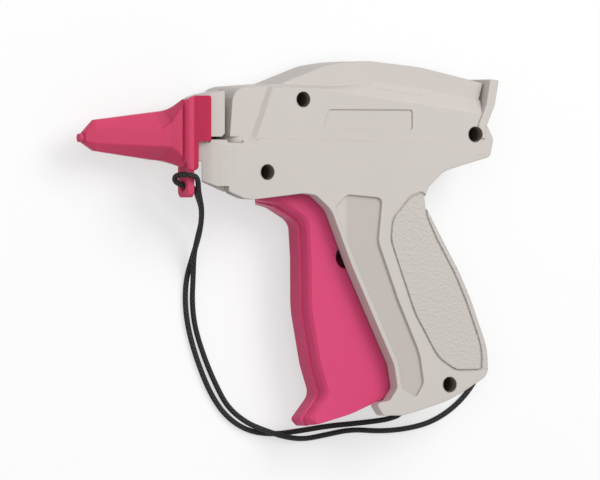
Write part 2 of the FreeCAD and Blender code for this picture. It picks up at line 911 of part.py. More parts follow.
all_screws = []
for i, (x, y) in enumerate(screws):
    head = part_of(
        "Part::Cylinder",
        f"screw_head_{i}",
        Radius="Sizes.head_radius",
        Height="Sizes.head_tall",
        Placement__Base__z="Sizes.half_width + Sizes.recess_floor",
    )
    shank = part_of(
        "Part::Cylinder",
        f"screw_shank_{i}",
        Radius="Sizes.screw_radius",
        Height="Sizes.screw_deep + Sizes.recess_floor + 0.5",
        Placement__Base__z="Sizes.half_width - Sizes.screw_deep",
    )
    cross = part_of(
        "Part::Box",
        f"screw_cross_{i}",
        Length="Sizes.head_radius * 1.3",
        Width="Sizes.head_radius * 0.28",
        Height="Sizes.head_tall",
        Placement__Base__z="Sizes.half_width + Sizes.recess_floor + Sizes.head_tall / 2",
    )
    other = part_of(
        "Part::Box",
        f"screw_cross_other_{i}",
        Width="Sizes.head_radius * 1.3",
        Length="Sizes.head_radius * 0.28",
        Height="Sizes.head_tall",
        Placement__Base__z="Sizes.half_width + Sizes.recess_floor + Sizes.head_tall / 2",
    )
    for piece in (head, shank):
        piece.Placement.Base.x = x
        piece.Placement.Base.y = y
    for piece, dx, dy in ((cross, 0.65, 0.14), (other, 0.14, 0.65)):
        piece.Placement.Base.x = x - dx * d.head_radius
        piece.Placement.Base.y = y - dy * d.head_radius
    joined = doc.addObject("Part::MultiFuse", f"screw_blank_{i}")
    joined.Shapes = [head, shank]
    slots = doc.addObject("Part::MultiFuse", f"screw_slots_{i}")
    slots.Shapes = [cross, other]
    screw = doc.addObject("Part::Cut", f"screw_{i}")
    screw.Base = joined
    screw.Tool = slots
    all_screws.append(screw)
casing_screws = doc.addObject("Part::Compound", "casing_screws")
casing_screws.Label = "casing_screws"
casing_screws.Links = all_screws


# ---------------------------------------------------------------- trigger
def middle_body(label):
    body = new_body(label)
    body.setExpression(".Placement.Base.z", "Sizes.half_width")
    return body


def both_ways(body, geometry, half):
    """A pad that is as thick on either side of the mid-plane."""
    return pad(body, geometry, f"-({half})", f"2 * ({half})", 1)


def through(body, geometry, half):
    return pocket(body, geometry, f"-({half})", f"2 * ({half})", 1)


trigger_outline = [
    (*d.at("trig_throat"), 3),
    (*d.at("trig_chin"), 1.5),
    (*d.at("trig_brow"), 8),
    (*d.at("trig_bend"), 6),
    (*d.at("trig_finger"), 30),
    (*d.at("trig_mid"), 40),
    (*d.at("trig_low"), 30),
    (*d.at("trig_knee"), 5),
    (*d.at("trig_lip"), 1.2),
    (*d.at("trig_tip"), 1.5),
    (*d.at("trig_sole"), 40),
    (*d.at("trig_heel"), 4),
    (*d.at("trig_back_a"), 6),
    (*d.at("trig_back_b"), 10),
    (*d.at("trig_back_c"), 10),
    (*d.at("trig_ear"), 3),
    (*d.at("trig_shoulder"), 6),
    (*d.at("trig_top"), 3),
]


def set_back(by):
    """The trigger's outline with its finger face moved back."""
    moved = inset(trigger_outline, by)
    shape = list(trigger_outline)
    for i in range(2, 9):
        shape[i] = (moved[i][0], moved[i][1], trigger_outline[i][2])
    tip = trigger_outline[9]
    shape[9] = (tip[0] + by, tip[1] + 0.27 * by, tip[2])
    return rounded(shape)


trigger = middle_body("trigger")
# The finger face: a flat rib down the middle and a shoulder that rolls back on
# either side of it.
both_ways(trigger, set_back(0), "Sizes.rib_half")
shoulder = (
    ("Sizes.rib_half", d.rib_raise),
    ("Sizes.rib_half + 1.7", d.rib_raise + 0.25),
    ("Sizes.trigger_half - 1.0", d.rib_raise + 0.8),
    ("Sizes.trigger_half", d.front_round),
)
for side in (1, -1):
    for (near, a), (far, b) in zip(shoulder, shoulder[1:]):
        loft(
            trigger,
            set_back(a),
            f"{side} * ({near})",
            set_back(b),
            f"{side} * ({far})",
        )
# The chin leans back on the right, where the right casing is cut back.
chin = [
    (d.trig_chin_x - 4, d.trigger_half + 0.1),
    (d.trig_chin_x, d.trigger_half + 0.1),
    (d.trig_chin_x + 8.6, -d.trigger_half - 0.1),
    (d.trig_chin_x - 4, -d.trigger_half - 0.1),
]
pocket(trigger, rounded(chin), "Sizes.hub_radius + 0.9", "8", 1, "XZ_Plane")
both_ways(trigger, circle(0, 0, d.hub_radius), "Sizes.trigger_half")
hollowed = inset(trigger_outline, d.trigger_wall)
face_wall = inset(trigger_outline, d.trigger_wall + 1.3)
behind = inset(trigger_outline, -4)
inner = (
    [(d.hub_radius + 2.5, -4.0, 2)]
    + [(q[0], q[1], q[2]) for q in face_wall[3:8]]
    + [(hollowed[10][0] - 12, hollowed[10][1] - 4.6, 2)]
    + [(hollowed[11][0] + 3, hollowed[11][1] + 1)]
    + [(q[0], q[1], 0) for q in behind[12:16]]
    + [(behind[16][0], behind[16][1]), (behind[17][0] + 10, behind[17][1])]
)
through(trigger, rounded(inner), "Sizes.trigger_half - Sizes.trigger_wall")
swing = d.trigger_turn + 2
at_rest = math.degrees(math.atan2(d.fulcrum_y, d.fulcrum_x))
reach = math.hypot(*d.at("fulcrum"))


def arc_between(radius, start, end):
    a = turned(radius, start)
    b = turned(radius, (start + end) / 2)
    c = turned(radius, end)
    return Part.Arc(V(*a, 0), V(*b, 0), V(*c, 0))


close = at_rest - d.trigger_turn
near_side = reach - d.notch_radius
far_side = reach + d.notch_radius
top = at_rest + 22
centre = V(*turned(reach, close), 0)
tip = centre + V(*turned(d.notch_radius, close - 90), 0)
notch_shape = [
    arc_between(near_side, top, close),
    Part.Arc(V(*turned(near_side, close), 0), tip, V(*turned(far_side, close), 0)),
    arc_between(far_side, close, top),
    Part.LineSegment(V(*turned(far_side, top), 0), V(*turned(near_side, top), 0)),
]
through(trigger, notch_shape, "Sizes.trigger_half + 1")
seat = rectangle(
    d.spring_seat_x - 3 - d.spring_rib, d.spring_seat_y - 6, d.spring_seat_x - 3, d.spring_seat_y + 6
)
both_ways(trigger, seat, "Sizes.trigger_half - Sizes.trigger_wall + 0.5")
pin_x, pin_y = turned(d.drive_radius, d.drive_angle)
both_ways(trigger, circle(pin_x, pin_y, 3.4), "Sizes.trigger_half")
through(trigger, circle(pin_x, pin_y, 3.6), "Sizes.trigger_half - Sizes.trigger_wall")
through(trigger, circle(pin_x, pin_y, d.pin_radius), "Sizes.trigger_half + 1")
through(
    trigger,
    circle(0, 0, d.boss_radius + d.hub_clear),
    "Sizes.trigger_half + 1",
)

drive_pin = part_of(
    "Part::Cylinder",
    "drive_pin",
    Radius="Sizes.pin_radius",
    Height="2 * Sizes.trigger_half",
    Placement__Base__z="Sizes.half_width - Sizes.trigger_half",
)
drive_pin.Placement.Base.x = pin_x
drive_pin.Placement.Base.y = pin_y

# ---------------------------------------------------------------- drive lever
lever = middle_body("drive_lever")
rest_lean = 90 - d.lever_turn / 2
foot_lean = math.degrees(math.atan2(pin_y - d.fulcrum_y, pin_x - d.fulcrum_x))


def along(lean, far, aside):
    """A point of the lever: so far from the fulcrum along an arm and so far beside it."""
    a = math.radians(lean)
    return (
        d.fulcrum_x + far * math.cos(a) - aside * math.sin(a),
        d.fulcrum_y + far * math.sin(a) + aside * math.cos(a),
    )


def arm(lean, places):
    return rounded([(*along(lean, far, aside), r) for far, aside, r in places])


upper = [
    (0, -d.lever_hub_radius, 0),
    (d.slot_near - 8, -d.lever_hub_radius, 6),
    (d.slot_near, -d.arm_half, 4),
    (d.arm_reach, -d.arm_half, 3),
    (d.arm_reach, d.arm_half, 3),
    (d.slot_near, d.arm_half, 4),
    (d.slot_near - 8, d.lever_hub_radius, 6),
    (0, d.lever_hub_radius, 0),
]
upper_slot = [
    (d.slot_near, -d.slot_half_wide, 1.5),
    (d.slot_wide, -d.slot_half_wide, 3),
    (d.slot_far - 2, -d.slot_half, 1),
    (d.slot_far, -d.slot_half, 1.5),
    (d.slot_far, d.slot_half, 1.5),
    (d.slot_far - 2, d.slot_half, 1),
    (d.slot_wide, d.slot_half_wide, 3),
    (d.slot_near, d.slot_half_wide, 1.5),
]
foot_arm = [
    (0, -d.foot_half, 0),
    (d.foot_reach, -d.foot_half, 3),
    (d.foot_reach, d.foot_half, 3),
    (0, d.foot_half, 0),
]
foot_slot = [
    (d.foot_slot_near, -d.foot_slot_half, 1.9),
    (d.foot_slot_far, -d.foot_slot_half, 1.9),
    (d.foot_slot_far, d.foot_slot_half, 1.9),
    (d.foot_slot_near, d.foot_slot_half, 1.9),
]
both_ways(lever, arm(rest_lean, upper), "Sizes.lever_half")
both_ways(lever, arm(foot_lean, foot_arm), "Sizes.lever_half")
both_ways(
    lever,
    circle(d.fulcrum_x, d.fulcrum_y, d.lever_hub_radius),
    "Sizes.lever_hub_half",
)
through(lever, arm(rest_lean, upper_slot), "Sizes.lever_half + 1")
through(lever, arm(foot_lean, foot_slot), "Sizes.lever_half + 1")
through(
    lever,
    circle(d.fulcrum_x, d.fulcrum_y, d.pin_radius + d.pin_clear),
    "Sizes.lever_hub_half + 1",
)
lever_pin = part_of(
    "Part::Cylinder",
    "lever_pin",
    Radius="Sizes.pin_radius",
    Height="2 * (Sizes.cavity_half - 0.6)",
    Placement__Base__x="Sizes.fulcrum_x",
    Placement__Base__y="Sizes.fulcrum_y",
    Placement__Base__z="Sizes.half_width - Sizes.cavity_half + 0.6",
)

# ---------------------------------------------------------------- slide and push rod
arm_tall = d.needle_height - d.fulcrum_y
pin_back = d.stroke / 2
slide_pin_x = d.fulcrum_x + pin_back
front_x = slide_pin_x - d.slide_front_gap - d.slide_front_thick
low = d.needle_height - d.slide_half_tall
high = d.needle_height + d.slide_half_tall
slide = middle_body("slide")
both_ways(
    slide,
    rectangle(front_x, low, slide_pin_x + d.slide_behind, high, 1.5),
    "Sizes.slide_half",
)
through(
    slide,
    rectangle(
        front_x + d.slide_front_thick, low - 1, slide_pin_x + d.slide_behind + 1, high + 1
    ),
    "Sizes.fork_half",
)
through(
    slide, circle(slide_pin_x, d.needle_height, d.pin_radius), "Sizes.slide_half + 1"
)
slide_pin = part_of(
    "Part::Cylinder",
    "slide_pin",
    Radius="Sizes.pin_radius",
    Height="2 * Sizes.slide_half",
    Placement__Base__y="Sizes.needle_height",
    Placement__Base__z="Sizes.half_width - Sizes.slide_half",
)
slide_pin.Placement.Base.x = slide_pin_x


def shaft_along_x(label, start, end, radius):
    """A round bar at the needle's height. Start, end and radius are expressions."""
    body = middle_body(label)
    pad(
        body,
        circle(d.needle_height, 0, radius),
        start,
        f"({end}) - ({start})",
        1,
        "YZ_Plane",
    )
    return body


push_rod = shaft_along_x(
    "push_rod",
    "Sizes.rod_tip",
    "Sizes.fulcrum_x + Sizes.stroke / 2 - Sizes.slide_front_gap - Sizes.slide_front_thick",
    d.rod_radius,
)
needle = shaft_along_x(
    "needle", "Sizes.needle_tip", "Sizes.needle_back", d.needle_radius
)
pocket(
    needle,
    circle(d.needle_height, 0, d.needle_bore),
    "Sizes.needle_tip - 1",
    "Sizes.needle_back - Sizes.needle_tip + 2",
    1,
    "YZ_Plane",
)
through_slot = rectangle(
    d.needle_tip - 1,
    d.needle_height - d.needle_slot / 2,
    d.needle_back + 1,
    d.needle_height + d.needle_slot / 2,
)
pocket(needle, through_slot, "0", "Sizes.needle_radius + 1", 1)
bevel = rounded(
    [
        (d.needle_tip - 0.5, d.needle_height - d.needle_radius - 1),
        (d.needle_tip + 5, d.needle_height - d.needle_radius - 1),
        (d.needle_tip + 0.4, d.needle_height + d.needle_radius - 0.5),
        (d.needle_tip - 0.5, d.needle_height + d.needle_radius - 0.5),
    ]
)
through(needle, bevel, "Sizes.needle_radius + 1")
needle_base = shaft_along_x(
    "needle_base",
    "Sizes.nose_front - Sizes.collar_length",
    "Sizes.nose_front",
    d.collar_radius,
)
pocket(
    needle_base,
    circle(d.needle_height, 0, d.needle_radius),
    "Sizes.nose_front - 20",
    "30",
    1,
    "YZ_Plane",
)

# ---------------------------------------------------------------- feed
guide_z = d.half_width - d.channel_half
clip_guide = part_of(
    "Part::Box",
    "clip_guide",
    Length="Sizes.channel_back - Sizes.channel_front - 0.4",
    Width="Sizes.nose_web_top - Sizes.needle_height - 1.5",
    Height="Sizes.guide_thick",
    Placement__Base__x="Sizes.channel_front + 0.2",
    Placement__Base__y="Sizes.needle_height + 1.5",
    Placement__Base__z="Sizes.half_width + Sizes.channel_half - Sizes.guide_thick",
)
wheel = new_body("feed_wheel")
wheel.setExpression(".Placement.Base.z", "Sizes.half_width")
teeth = []
steps = int(d.wheel_teeth)
for i in range(steps):
    for part, radius in (
        (0.0, d.wheel_root),
        (0.30, d.wheel_tip),
        (0.45, d.wheel_tip),
        (0.75, d.wheel_root),
    ):
        a = 2 * math.pi * (i + part) / steps
        teeth.append(
            (
                d.wheel_height + radius * math.cos(a),
                -d.wheel_half + radius * math.sin(a),
            )
        )
pad(wheel, rounded(teeth), "Sizes.wheel_x", "Sizes.wheel_thick", 1, "YZ_Plane")
pad(
    wheel,
    circle(d.wheel_height, -d.wheel_half, d.wheel_root - 0.4),
    "Sizes.wheel_x - 4",
    "Sizes.wheel_thick + 6.4",
    1,
    "YZ_Plane",
)
pocket(
    wheel,
    circle(d.wheel_height, -d.wheel_half, d.axle_radius + 0.05),
    "Sizes.wheel_x - 10",
    "30",
    1,
    "YZ_Plane",
)
axle = new_body("feed_axle")
axle.setExpression(".Placement.Base.z", "Sizes.half_width")
pad(
    axle,
    circle(d.wheel_height, -d.wheel_half, d.axle_radius),
    "Sizes.axle_front",
    "Sizes.axle_back - Sizes.axle_front",
    1,
    "YZ_Plane",
)
index_spring = part_of(
    "Part::Box",
    "index_spring",
    Length="Sizes.feed_room_back - Sizes.feed_room_front - 0.2",
    Width="0.4",
    Height="5",
    Placement__Base__x="Sizes.feed_room_front + 0.1",
    Placement__Base__y="Sizes.wheel_height - Sizes.wheel_tip - 0.7",
    Placement__Base__z="Sizes.half_width - Sizes.wheel_half - 2.5",
)
pawl_z = d.half_width - d.wheel_half
pawl = new_body("feed_pawl")
pawl.setExpression(".Placement.Base.z", "Sizes.half_width - Sizes.wheel_half")
finger_end = d.wheel_x + d.wheel_thick + 2.8
both_ways(
    pawl,
    rounded(
        [
            (finger_end, d.pawl_pin_y - 1.6),
            (finger_end, d.pawl_pin_y - 0.4),
            (d.pawl_pin_x, d.pawl_pin_y + 1.8, 1.7),
            (d.pawl_pin_x + 2.2, d.pawl_pin_y, 1.7),
            (d.pawl_pin_x, d.pawl_pin_y - 2.0, 1.7),
        ]
    ),
    "Sizes.pawl_thick / 2",
)
through(
    pawl,
    circle(d.pawl_pin_x, d.pawl_pin_y, d.pawl_pin_radius + 0.05),
    "Sizes.pawl_thick",
)
pawl_pin = part_of(
    "Part::Cylinder",
    "pawl_pin",
    Radius="Sizes.pawl_pin_radius",
    Height="Sizes.cavity_half - Sizes.wheel_half + 2.2",
    Placement__Base__x="Sizes.pawl_pin_x",
    Placement__Base__y="Sizes.pawl_pin_y",
    Placement__Base__z="Sizes.half_width - Sizes.cavity_half",
)

# ---------------------------------------------------------------- return spring
seat_x = d.spring_seat_x - 3
coil = Part.makeHelix(
    d.spring_length / d.spring_turns, d.spring_length, d.spring_radius
)
ring = Part.Wire(
    Part.Edge(Part.Circle(V(d.spring_radius, 0, 0), V(0, 1, 0.2), d.spring_wire))
)
swept = Part.Wire(coil.Edges).makePipeShell([ring], True, True)
return_spring = doc.addObject("Part::Feature", "trigger_spring")
return_spring.Label = "trigger_spring"
return_spring.Shape = swept
return_spring.Placement = FreeCAD.Placement(
    V(seat_x + d.spring_wire + 0.2, d.spring_seat_y, d.half_width),
    FreeCAD.Rotation(V(0, 0, 1), d.spring_angle) * FreeCAD.Rotation(V(0, 1, 0), 90),
)

# ---------------------------------------------------------------- needle cap
cap = middle_body("needle_cap")
mid = d.needle_height
flange_face = "Sizes.cap_back - Sizes.cap_flange"


def slice_of(low, high, half, side_low, side_high, crown):
    """A slice: a narrow crown and sole, and a flat band on either side."""
    return [
        (low, -crown),
        (low, crown),
        (side_low, half),
        (side_high, half),
        (high, crown),
        (high, -crown),
        (side_high, -half),
        (side_low, -half),
    ]


def softened(points, r):
    """Rounded corners, and a fine groove above the band on the left side."""
    y, z = points[3]
    across = (points[4][0] - y, points[4][1] - z)
    groove = (
        y + 0.07 * across[0] + 0.06 * across[1],
        z + 0.07 * across[1] - 0.06 * across[0],
    )
    ledge = (y + 0.15 * across[0], z + 0.15 * across[1])
    corners = [(a, b, r) for a, b in points]
    return rounded(corners[:3] + [(y, z), groove, ledge] + corners[4:])


# From the tip to the flange. The left side flares out and up into the near plate.
slices = (
    ("Sizes.cap_tip", slice_of(mid - 1.9, mid + 2.1, 2.2, mid - 1.1, mid + 1.3, 0.9)),
    ("Sizes.cap_neck", slice_of(mid - 4.5, mid + 6.3, 3.2, mid - 1.8, mid + 2.8, 1.2)),
    ("Sizes.cap_root", slice_of(mid - 7.6, mid + 9.0, 8.0, mid - 2.9, mid + 3.4, 2.2)),
    (
        "Sizes.cap_bend",
        [
            (mid - 7.8, -2.2),
            (mid - 7.9, 3.2),
            (mid - 3.1, 8.9),
            (mid + 5.5, 8.9),
            (mid + 9.4, 3.0),
            (mid + 9.3, -2.2),
            (mid + 3.7, -8.2),
            (mid - 3.1, -8.2),
        ],
    ),
    (
        "Sizes.cap_flare",
        [
            (mid - 8.2, -2.2),
            (mid - 8.9, 6.0),
            (mid - 4.7, 10.2),
            (mid + 9.5, 10.2),
            (mid + 10.8, 6.0),
            (mid + 9.5, -2.2),
            (mid + 4.1, -8.3),
            (mid - 3.7, -8.3),
        ],
    ),
    (
        flange_face,
        [
            (mid - 8.6, -2.0),
            (mid - 10.4, 9.4),
            (mid - 7.8, d.cap_band),
            (mid + 12.6, d.cap_band),
            (mid + 13.6, 9.4),
            (mid + 9.7, -2.0),
            (mid + 4.4, -d.cap_far),
            (mid - 4.2, -d.cap_far),
        ],
    ),
)
pad(
    cap,
    softened(slices[5][1], 0.5),
    flange_face,
    "Sizes.cap_flange",
    1,
    "YZ_Plane",
)
for (lift, points), (following, others) in zip(slices, slices[1:]):
    loft(cap, softened(points, 0.5), lift, softened(others, 0.5), following, "YZ_Plane")
pad(
    cap,
    circle(mid, 0, d.nub_radius),
    "Sizes.cap_nub",
    "Sizes.cap_tip - Sizes.cap_nub + 0.4",
    1,
    "YZ_Plane",
)
# The plate on the left side: a bead down its front edge, and a cheek that flares out
# behind it.
front = d.cap_back - d.cap_flange
near_plate = rounded(
    [
        (front, d.cap_low, 3.0),
        (front, d.cap_high, 4.6),
        (d.cheek_reach, d.cap_high, 0.8),
        (d.cheek_reach, d.cheek_floor, 0.5),
        (d.cap_back, d.cheek_floor, 0.3),
        (d.cap_back, d.cap_low, 1.6),
    ]
)
pad(cap, near_plate, "Sizes.cheek_near", "Sizes.cap_half - Sizes.cheek_near", 1)
outside = rounded(
    [
        (front - 0.7, d.cap_half - 4.5),
        (front, d.cap_half - 4.5),
        (front + 0.5, d.bead_crest - 1.1, 0.8),
        (d.bead_front, d.bead_crest, 1.0),
        (d.bead_back, d.bead_crest, 0.6),
        (d.cheek_start, d.cheek_root, 0.2),
        (d.cheek_reach + 0.5, d.cap_half + 0.2),
        (d.cheek_reach + 0.5, d.cap_half + 0.8),
        (front - 0.7, d.cap_half + 0.8),
    ]
)
pocket(cap, outside, "1", "Sizes.cap_high + 2", -1, "XZ_Plane")
tab = rectangle(
    d.tab_low, d.tab_z - d.tab_half, d.cap_low + 3, d.tab_z + d.tab_half, 2.4
)
pad(cap, tab, "Sizes.tab_front", "Sizes.tab_thick", 1, "YZ_Plane")
pocket(
    cap,
    circle(d.tab_hole_y, d.tab_z, d.tab_hole_radius),
    "Sizes.tab_front - 1",
    "Sizes.tab_thick + 2",
    1,
    "YZ_Plane",
)
pocket(
    cap,
    circle(mid, 0, d.cap_bore),
    "Sizes.needle_tip - 2",
    "Sizes.cap_back - Sizes.needle_tip + 3",
    1,
    "YZ_Plane",
)
pocket(
    cap,
    circle(mid, 0, d.cap_mouth),
    "Sizes.nose_front - Sizes.collar_length - 1",
    "12",
    1,
    "YZ_Plane",
)


# ---------------------------------------------------------------- cord
def route(points):
    """Straight runs joined by tangent arcs, through the chosen points."""
    places = [V(*p) for p in points]
    edges = []
    radii = []
    at = places[0]
    for i in range(1, len(places) - 1):
        before, here, after = places[i - 1], places[i], places[i + 1]
        a = before - here
        b = after - here
        run = 0.45 * min(a.Length, b.Length)
        a.normalize()
        b.normalize()
        half = math.acos(max(-1, min(1, a.dot(b)))) / 2
        start = here + a * run
        end = here + b * run
        middle = (a + b).normalize()
        radius = run * math.tan(half)
        centre = here + middle * (run / math.cos(half))
        edges.append(Part.LineSegment(at, start).toShape())
        edges.append(Part.Arc(start, centre - middle * radius, end).toShape())
        radii.append(radius)
        at = end
    edges.append(Part.LineSegment(at, places[-1]).toShape())
    return Part.Wire(edges), radii


def cord_piece(label, points):
    wire, radii = route(points)
    way = wire.Edges[0].tangentAt(wire.Edges[0].FirstParameter)
    ring = Part.Wire(Part.Edge(Part.Circle(V(*points[0]), way, d.cord / 2)))
    tube = wire.makePipeShell([ring], True, True)
    expected = math.pi * (d.cord / 2) ** 2 * wire.Length
    print(
        label,
        f"length {wire.Length:.1f}, volume {tube.Volume:.1f} of {expected:.1f},",
        "radii",
        [round(r, 1) for r in radii],
    )
    piece = doc.addObject("Part::Feature", label)
    piece.Label = label
    piece.Shape = tube
    return piece


floor = d.cord / 2 + 0.02
eye_z = d.half_width + d.tab_z
eye_y = d.tab_hole_y
neck_front = d.tab_front - d.cord / 2 - 0.15
neck_back = d.tab_front + d.tab_thick + d.cord / 2 + 0.1
near = d.half_width + d.tab_z + d.tab_half + d.cord / 2 + 0.1
first_end = (-23.24, -8.56, 18.78)
second_end = (-23.8, -9.26, 21.44)
hitch_points = [
    first_end,
    (-25.4, -6.0, 20.9),
    (-27.6, eye_y, eye_z - 0.2),
    (-30.8, eye_y + 0.1, eye_z),
    (-32.9, eye_y + 1.5, eye_z - 1.4),
    (-32.6, -1.4, eye_z - 1.6),
    (neck_front - 0.3, -0.9, eye_z + 1.4),
    (-31.0, -0.9, near + 0.7),
    (-28.0, -1.6, near + 0.8),
    (neck_back + 0.4, -3.4, near - 1.0),
    (-25.6, -6.2, 23.6),
    second_end,
]
lower_leg = [
    second_end,
    (-21.6, -13.0, 18.8),
    (-19.4, -17.6, 14.4),
    (-18.2, -22.8, 9.4),
    (-17.6, -28.6, 5.7),
    (-16.6, -36.6, 3.3),
    (-16.0, -45.6, floor + 0.4),
    (-14.6, -54.6, floor),
    (-10.6, -65.6, floor),
    (-6.0, -75.0, floor),
    (-1.6, -82.4, floor + 0.3),
    (5.0, -87.8, floor + 1.9),
    (12.4, -90.6, floor + 2.8),
    (20.0, -92.8, floor + 2.6),
    (28.6, -93.6, floor + 0.7),
    (37.6, -92.1, floor),
    (48.0, -90.2, floor),
    (60.0, -91.0, floor),
    (71.6, -90.0, floor),
    (81.6, -87.4, floor),
    (91.0, -81.6, floor),
    (98.2, -73.6, floor),
    (101.0, -65.4, floor + 0.5),
    (97.8, -58.8, floor + 2.2),
    (91.8, d.cord_in_back_y, d.cord_hole_z - 0.2),
    (83.6, d.cord_in_back_y, d.cord_hole_z),
]
upper_leg = [
    first_end,
    (-20.0, -12.4, 15.6),
    (-17.4, -17.2, 10.8),
    (-16.0, -22.8, 6.2),
    (-16.4, -29.4, 2.5),
    (-18.2, -37.4, floor),
    (-18.6, -46.6, floor),
    (-17.0, -56.2, floor),
    (-13.4, -66.8, floor),
    (-8.4, -77.6, floor),
    (-2.4, -85.4, floor),
    (6.2, -90.6, floor),
    (16.6, -91.9, floor),
    (27.6, -90.6, floor),
    (38.6, -89.0, floor),
    (49.0, -88.2, floor),
    (57.6, -87.4, floor),
    (62.8, -86.6, floor + 1.0),
    (d.cord_in_low_x - 0.1, -84.6, d.cord_hole_z - 0.5),
    (d.cord_in_low_x, -78.4, d.cord_hole_z),
]
cord_hitch = cord_piece("cord_hitch", hitch_points)
cord_lower_leg = cord_piece("cord_lower_leg", lower_leg)
cord_upper_leg = cord_piece("cord_upper_leg", upper_leg)
low_knot = part_of("Part::Sphere", "low_knot", Radius="Sizes.knot_radius")
low_knot.Placement.Base = V(d.cord_in_low_x, upper_leg[-1][1] + d.knot_radius, d.cord_hole_z)
back_knot = part_of("Part::Sphere", "back_knot", Radius="Sizes.knot_radius")
back_knot.Placement.Base = V(lower_leg[-1][0] - d.knot_radius, d.cord_in_back_y, d.cord_hole_z)
cord_knots = doc.addObject("Part::Compound", "cord_knots")
cord_knots.Label = "cord_knots"
cord_knots.Links = [low_knot, back_knot]

# ---------------------------------------------------------------- check and write
nodes = [
    left,
    right,
    casing_screws,
    trigger,
    drive_pin,
    lever,
    lever_pin,
    slide,
    slide_pin,
    push_rod,
    needle,
    needle_base,
    clip_guide,
    wheel,
    axle,
    index_spring,
    pawl,
    pawl_pin,
    return_spring,
    cap,
    cord_hitch,
    cord_lower_leg,
    cord_upper_leg,
    cord_knots,
]
doc.recompute()
for feature in doc.Objects:
    if "Invalid" in feature.State or "Error" in feature.State:
        raise RuntimeError(f"{feature.Name} failed: {feature.State}")
for node in nodes:
    if node.Shape.isNull() or not node.Shape.isValid():
        raise RuntimeError(f"{node.Label} has no valid shape")
os.makedirs("parts", exist_ok=True)
for node in nodes:
    node.Shape.exportStep(f"parts/{node.Label}.step")
    print(node.Label, len(node.Shape.Solids), round(node.Shape.Volume, 1))
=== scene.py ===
import math

import bpy
from mathutils import Matrix, Vector


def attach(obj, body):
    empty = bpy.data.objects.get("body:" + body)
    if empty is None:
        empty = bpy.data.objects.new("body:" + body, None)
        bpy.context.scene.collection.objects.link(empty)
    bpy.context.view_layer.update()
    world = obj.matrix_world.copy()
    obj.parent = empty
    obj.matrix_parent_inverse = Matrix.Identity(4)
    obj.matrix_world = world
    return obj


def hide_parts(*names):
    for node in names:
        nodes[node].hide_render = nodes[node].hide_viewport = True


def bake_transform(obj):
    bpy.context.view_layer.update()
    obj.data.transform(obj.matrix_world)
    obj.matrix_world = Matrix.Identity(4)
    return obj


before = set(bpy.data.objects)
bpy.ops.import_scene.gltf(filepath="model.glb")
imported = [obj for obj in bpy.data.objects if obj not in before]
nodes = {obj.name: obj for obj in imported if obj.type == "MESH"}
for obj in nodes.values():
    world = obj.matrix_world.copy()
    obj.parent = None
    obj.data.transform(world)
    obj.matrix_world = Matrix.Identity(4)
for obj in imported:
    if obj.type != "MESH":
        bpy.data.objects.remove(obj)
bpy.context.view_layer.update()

# ---------------------------------------------------------------- camera
# The tool lies on its right side. The camera looks down on its left side, turned
# towards the muzzle, through a long lens so that edges stay nearly parallel.
VIEW_TURN = math.radians(29)
VIEW_DISTANCE = 6.0
VIEW_WIDTH = 0.2100
SENSOR_WIDTH = 36
target = Vector((0.02045, -0.0237, 0.0135))
away = Vector((-math.sin(VIEW_TURN), 0, math.cos(VIEW_TURN)))
camera = bpy.data.objects.new("camera", bpy.data.cameras.new("camera"))
bpy.context.scene.collection.objects.link(camera)
camera.data.sensor_width = SENSOR_WIDTH
camera.data.lens = SENSOR_WIDTH * VIEW_DISTANCE / VIEW_WIDTH
camera.data.clip_end = 50
camera.location = target + away * VIEW_DISTANCE
side_way = Vector((math.cos(VIEW_TURN), 0, math.sin(VIEW_TURN)))
up_way = Vector((0, 1, 0))
turned = Matrix((side_way, up_way, away)).transposed().to_4x4()
camera.matrix_world = Matrix.Translation(camera.location) @ turned
bpy.context.scene.camera = camera


# ---------------------------------------------------------------- hand loop
# A thin limp braided cord, doubled. Both ends go into the butt of the grip and are
# knotted inside; its middle is hitched round the eyelet under the needle cap.
class Link:
    """One shader socket, so that shader maths can be written as expressions."""

    def __init__(self, tree, socket):
        self.tree = tree
        self.socket = socket

    def maths(self, operation, *others):
        node = self.tree.nodes.new("ShaderNodeMath")
        node.operation = operation
        for i, value in enumerate((self, *others)):
            if isinstance(value, Link):
                self.tree.links.new(value.socket, node.inputs[i])
            else:
                node.inputs[i].default_value = value
        return Link(self.tree, node.outputs[0])

    def __add__(self, other):
        return self.maths("ADD", other)

    def __sub__(self, other):
        return self.maths("SUBTRACT", other)

    def __mul__(self, other):
        return self.maths("MULTIPLY", other)

    def __truediv__(self, other):
        return self.maths("DIVIDE", other)

    def __pow__(self, other):
        return self.maths("POWER", other)

    def __rsub__(self, other):
        return (self * -1.0) + other

    __rmul__ = __mul__

    def least(self, other):
        return self.maths("MINIMUM", other)

    def most(self, other):
        return self.maths("MAXIMUM", other)

    def clamped(self):
        return self.maths("MAXIMUM", 0.0).maths("MINIMUM", 1.0)

    def step(self, low, high):
        """0 below low, 1 above high, and smooth between."""
        t = ((self - low) / (high - low)).clamped()
        return t * t * (3.0 - 2.0 * t)


